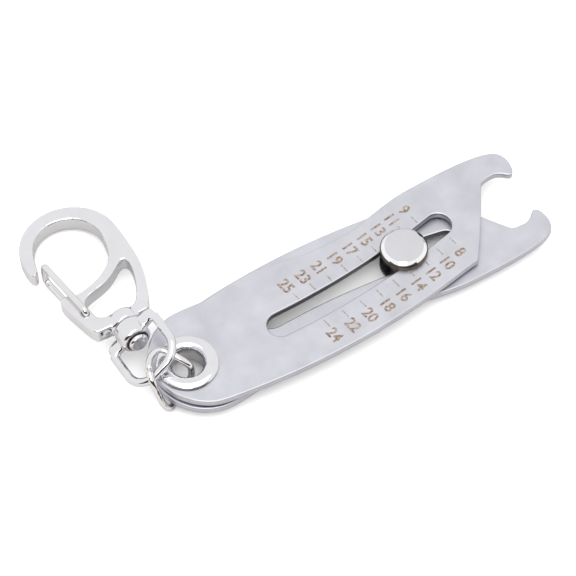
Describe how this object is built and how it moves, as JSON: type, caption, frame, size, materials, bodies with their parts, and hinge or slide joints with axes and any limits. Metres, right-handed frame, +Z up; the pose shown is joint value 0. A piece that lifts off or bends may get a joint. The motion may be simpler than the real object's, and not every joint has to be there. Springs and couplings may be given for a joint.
{
  "type": "thread size checker",
  "caption": "Thread size checker: two crossed jaw plates on an eyelet, opened by a knob that slides in curved slots, with a key ring and a swivel snap hook.",
  "frame": {"origin": "on the pivot axis of the jaw plates, at the level of the table that the gauge lies on", "axes": "+X along the centre line from the pivot to the jaws, +Y towards the snap hook, +Z up, square to the plates"},
  "size_m": [0.1075, 0.0672, 0.0126],
  "materials": {
    "plate_steel": "satin stainless sheet, tumbled edges",
    "knob_metal": "satin chrome",
    "bright_metal": "polished chrome plate",
    "wire_metal": "polished nickel wire"
  },
  "bodies": {
    "eyelet": {"pivot_eyelet": "bright_metal", "pivot_washer": "plate_steel"},
    "upper_jaw": {"top_plate": "plate_steel"},
    "lower_jaw": {"bottom_plate": "plate_steel"},
    "slider": {"slider_knob": "knob_metal", "slider_foot": "knob_metal"},
    "key_ring": {"chain_ring": "wire_metal"},
    "stirrup": {"stirrup": "bright_metal"},
    "snap_hook": {"hook_body": "bright_metal", "swivel_rivet": "bright_metal"},
    "gate": {"wire_gate": "wire_metal"}
  },
  "joints": [
    {"name": "upper_jaw_swing", "type": "hinge", "parent": "eyelet", "child": "upper_jaw", "pos_m": [0, 0, 0], "axis": [0, 0, 1], "range_deg": [-1.56, 5.16]},
    {"name": "lower_jaw_swing", "type": "hinge", "parent": "eyelet", "child": "lower_jaw", "pos_m": [0, 0, 0], "axis": [0, 0, 1], "range_deg": [-5.16, 1.56]},
    {"name": "slider_slide", "type": "slide", "parent": "eyelet", "child": "slider", "axis": [1, 0, 0], "range_m": [-0.0333, 0.0101]},
    {"name": "key_ring_swing", "type": "hinge", "parent": "eyelet", "child": "key_ring", "pos_m": [0, 0, 0], "axis": [0, 0, 1], "range_deg": [-1.5, 6]},
    {"name": "stirrup_swing", "type": "hinge", "parent": "key_ring", "child": "stirrup", "pos_m": [-0.0094, 0.0003, 0.007], "axis": [0, 0, 1], "range_deg": [-0.5, 5]},
    {"name": "hook_swivel", "type": "hinge", "parent": "stirrup", "child": "snap_hook", "pos_m": [-0.00655, 0.01474, 0.0067], "axis": [0.0173, 0.9924, -0.1219], "continuous": true},
    {"name": "gate_swing", "type": "hinge", "parent": "snap_hook", "child": "gate", "pos_m": [-0.01282, 0.022, 0.00582], "axis": [0.0021, 0.1219, 0.9925], "range_deg": [-22, 0], "stiffness_Nm_per_rad": 0.01, "springref_deg": 8.59}
  ],
  "couplings": [
    {"joint": "lower_jaw_swing", "follows": "upper_jaw_swing", "ratio": -1},
    {"joint": "slider_slide", "follows": "upper_jaw_swing", "m_per_rad": -0.36965}
  ]
}
